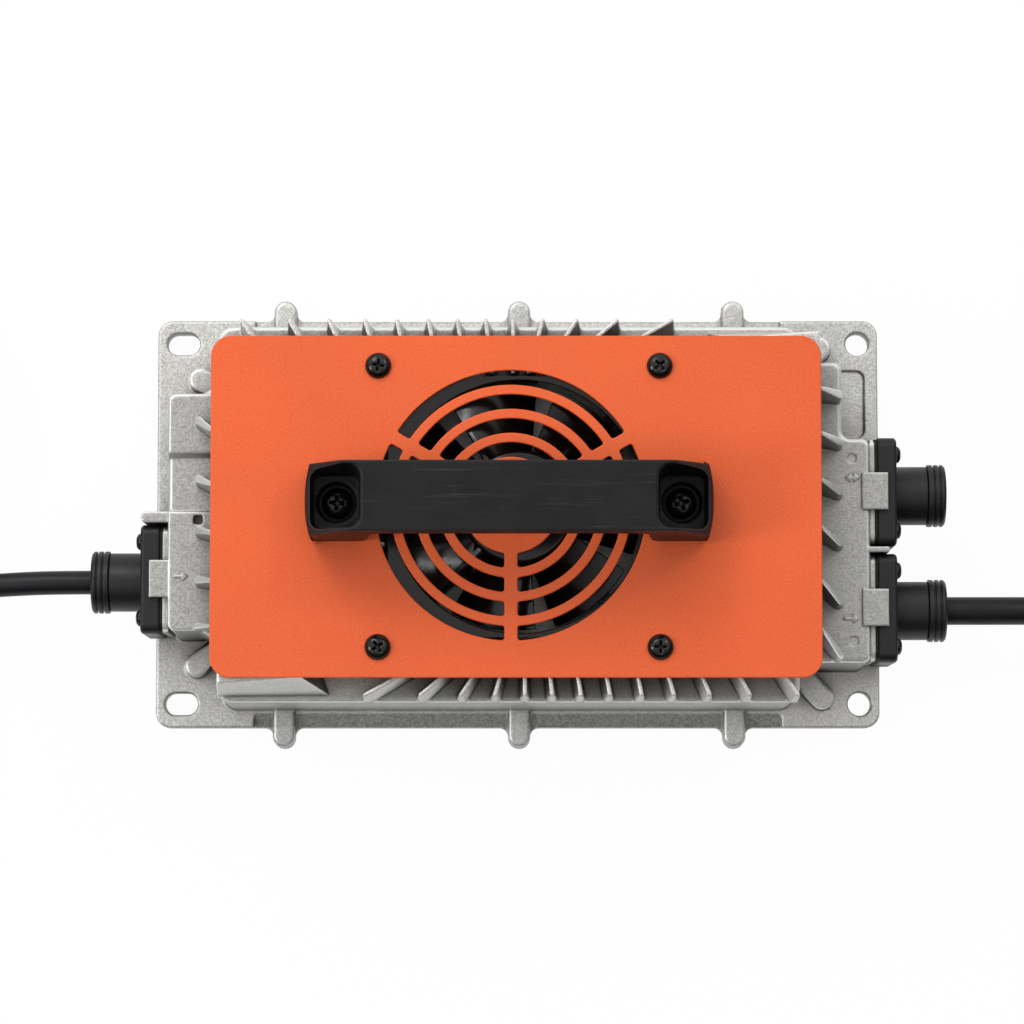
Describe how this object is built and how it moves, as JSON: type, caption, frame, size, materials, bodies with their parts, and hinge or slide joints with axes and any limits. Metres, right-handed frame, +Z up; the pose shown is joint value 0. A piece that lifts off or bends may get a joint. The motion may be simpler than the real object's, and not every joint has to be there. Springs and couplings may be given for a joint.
{
  "type": "waterproof lithium battery charger",
  "caption": "Finned die-cast charger with a fan under a slotted orange plate, a bridge handle, flanged cable glands and coiled input and output cables.",
  "frame": {"origin": "underside of the base cover, at the centre of the base flange", "axes": "+X towards the output end, +Y across the housing, +Z up from the base to the handle"},
  "size_m": [0.6422, 0.1761, 0.122],
  "materials": {
    "cast_aluminium": "shot-blasted die casting",
    "sheet_aluminium": "flat sheet",
    "orange_paint": "fine orange powder coat",
    "handle_plastic": "fine-grained moulding",
    "gland_plastic": "matte moulding",
    "fan_plastic": "semi-gloss moulding",
    "black_steel": "black plated screw steel",
    "steel": "bright steel",
    "black_rubber": "moulded rubber",
    "cable_sheath": "rubber cable sheath",
    "ferrite": "sintered, dull",
    "copper": "enamelled copper wire",
    "board_laminate": "green solder mask",
    "part_plastic": "moulded component body",
    "terminal_plastic": "green terminal body",
    "fuse_glass": "clear glass tube",
    "contact_brass": "plated contact"
  },
  "bodies": {
    "charger": {"casting": "cast_aluminium", "base_cover": "sheet_aluminium", "heat_bar": "sheet_aluminium", "top_plate": "orange_paint", "handle": "handle_plastic", "input_gland": "gland_plastic", "input_nut": "gland_plastic", "output_gland": "gland_plastic", "output_nut": "gland_plastic", "signal_gland": "gland_plastic", "signal_nut": "gland_plastic", "signal_blank": "gland_plastic", "input_tie": "gland_plastic", "output_tie": "gland_plastic", "fan_frame": "fan_plastic", "plate_screws": "black_steel", "handle_screws": "black_steel", "base_screws": "black_steel", "fan_screws": "black_steel", "board_screws": "black_steel", "input_gland_screws": "black_steel", "output_gland_screws": "black_steel", "signal_gland_screws": "black_steel", "fan_bearings": "steel", "base_seal": "black_rubber", "fan_grommet": "black_rubber", "input_gasket": "black_rubber", "output_gasket": "black_rubber", "signal_gasket": "black_rubber", "input_grommet": "black_rubber", "output_grommet": "black_rubber", "input_wires": "cable_sheath", "output_wires": "cable_sheath", "fan_lead": "cable_sheath", "input_cable": "cable_sheath", "input_coil": "cable_sheath", "input_tail": "cable_sheath", "input_plug": "cable_sheath", "output_cable": "cable_sheath", "output_coil": "cable_sheath", "output_tail": "cable_sheath", "output_connector": "cable_sheath", "fan_stator": "ferrite", "transformer_core": "ferrite", "choke_core": "ferrite", "transformer_winding": "copper", "choke_winding": "copper", "circuit_board": "board_laminate", "filter_choke": "part_plastic", "bulk_capacitors": "part_plastic", "output_capacitors": "part_plastic", "power_parts": "part_plastic", "relay": "part_plastic", "terminal_blocks": "terminal_plastic", "fuse": "fuse_glass", "input_pins": "contact_brass", "output_contacts": "contact_brass"},
    "fan": {"fan_rotor": "fan_plastic", "fan_shaft": "steel", "fan_magnet": "ferrite"}
  },
  "joints": [
    {"name": "fan_spin", "type": "hinge", "parent": "charger", "child": "fan", "pos_m": [0.00035, 0, 0.0697], "axis": [0, 0, 1], "continuous": true}
  ]
}
